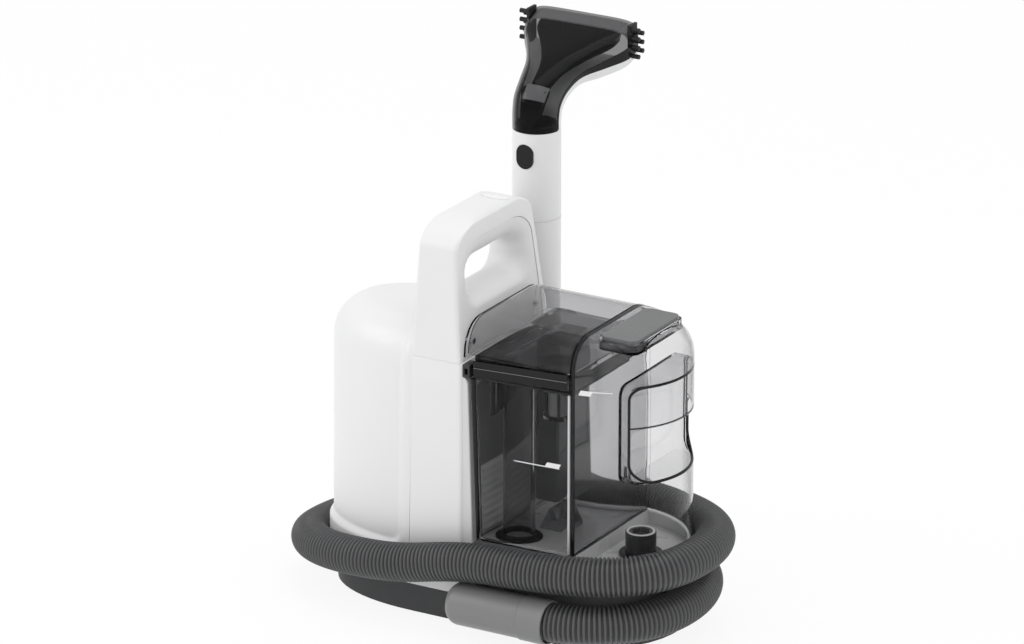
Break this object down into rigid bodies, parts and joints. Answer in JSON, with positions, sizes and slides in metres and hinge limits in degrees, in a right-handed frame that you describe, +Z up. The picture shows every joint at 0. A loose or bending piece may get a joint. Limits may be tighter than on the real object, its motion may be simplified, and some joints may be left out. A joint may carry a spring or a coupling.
{
  "type": "portable spot extractor",
  "caption": "Portable spot extractor that sprays and sucks carpet clean: casing with carrying handle, lift-off dirty and clean water tanks, ribbed hose, wand and fan-shaped nozzle",
  "frame": {"origin": "on the ground under the middle of the column that carries the handle, on the middle plane of the casing", "axes": "+X towards the clean water tank, +Y towards the side that carries the wand, +Z up"},
  "size_m": [0.4182, 0.2978, 0.485],
  "materials": {
    "white_shell": "satin white moulding",
    "dark_pan": "matt dark grey moulding",
    "smoke_dark": "dark smoked clear plastic",
    "smoke_clear": "light smoked clear plastic",
    "hose_grey": "matt charcoal ribbed hose",
    "black_rubber": "black rubber",
    "metal": "brushed",
    "circuit_board": "green circuit board",
    "button_grey": "dark glossy button"
  },
  "bodies": {
    "base": {"rubber_feet": "black_rubber", "base_pan": "dark_pan", "tank_deck": "dark_pan", "case_screws": "metal", "lobe_shell": "white_shell", "exhaust_grille": "dark_pan", "cord_gland": "dark_pan", "column_shell": "white_shell", "column_louvre": "white_shell", "side_latches": "dark_pan", "handle_shell": "white_shell", "handle_insert": "white_shell", "cover_plate": "smoke_clear", "plate_screws": "metal", "hose_elbow": "hose_grey", "hose_collar": "hose_grey", "hose": "hose_grey", "wand_cradle": "dark_pan", "motor_mount": "dark_pan", "motor_can": "metal", "fan_housing": "dark_pan", "suction_duct": "smoke_dark", "water_pump": "dark_pan", "control_board": "circuit_board"},
    "power_button": {"power_button": "white_shell"},
    "dirty_tank": {"dirty_tank": "smoke_dark", "intake_pipe": "smoke_dark", "intake_seal": "black_rubber", "tank_baffle": "smoke_dark"},
    "dirty_lid": {"dirty_lid": "smoke_dark", "hood": "smoke_clear", "separator_box": "smoke_dark", "float_cage": "smoke_dark", "lid_gasket": "black_rubber"},
    "float": {"float_body": "white_shell"},
    "clean_tank": {"clean_tank": "smoke_clear", "finger_pocket": "smoke_clear", "clean_tank_tray": "smoke_dark", "valve_body": "dark_pan", "release_well": "smoke_dark", "release_springs": "metal"},
    "clean_valve": {"valve_stem": "white_shell"},
    "release_button": {"release_button": "button_grey"},
    "wand": {"wand_sleeve": "hose_grey", "wand_lower": "white_shell", "wand_upper": "white_shell", "trigger_valve": "metal"},
    "trigger": {"trigger": "button_grey"},
    "nozzle": {"nozzle_collar": "smoke_dark", "nozzle_cover": "smoke_dark", "nozzle_shell": "white_shell", "spray_tip": "smoke_clear", "bristle_left": "black_rubber", "bristle_right": "black_rubber"},
    "rotor": {"motor_shaft": "metal", "impeller": "white_shell"}
  },
  "joints": [
    {"name": "power_button_press", "type": "slide", "parent": "base", "child": "power_button", "axis": [0, 0, -1], "range_m": [0, 0.0012], "stiffness_N_per_m": 500, "springref_m": -0.0015},
    {"name": "dirty_tank_lift", "type": "slide", "parent": "base", "child": "dirty_tank", "axis": [0, 0, 1], "range_m": [0, 0.06]},
    {"name": "dirty_lid_lift", "type": "slide", "parent": "dirty_tank", "child": "dirty_lid", "axis": [0, 0, 1], "range_m": [0, 0.05]},
    {"name": "float_rise", "type": "slide", "parent": "dirty_lid", "child": "float", "axis": [0, 0, 1], "range_m": [0, 0.016]},
    {"name": "clean_tank_lift", "type": "slide", "parent": "base", "child": "clean_tank", "axis": [0, 0, 1], "range_m": [0, 0.06]},
    {"name": "valve_stem_push", "type": "slide", "parent": "clean_tank", "child": "clean_valve", "axis": [0, 0, 1], "range_m": [0, 0.003], "stiffness_N_per_m": 200, "springref_m": -0.003},
    {"name": "release_button_press", "type": "slide", "parent": "clean_tank", "child": "release_button", "axis": [0, 0, -1], "range_m": [0, 0.0025], "stiffness_N_per_m": 600, "springref_m": -0.002, "deforming": ["release_springs"]},
    {"name": "wand_lift", "type": "slide", "parent": "base", "child": "wand", "axis": [0, 0, 1], "range_m": [0, 0.03]},
    {"name": "trigger_press", "type": "slide", "parent": "wand", "child": "trigger", "axis": [0, 1, 0], "range_m": [0, 0.003], "stiffness_N_per_m": 500, "springref_m": -0.002},
    {"name": "nozzle_pull", "type": "slide", "parent": "wand", "child": "nozzle", "axis": [0, 0, 1], "range_m": [0, 0.015]},
    {"name": "impeller_spin", "type": "hinge", "parent": "base", "child": "rotor", "pos_m": [-0.08, 0, 0.1], "axis": [0, 0, 1], "continuous": true}
  ]
}
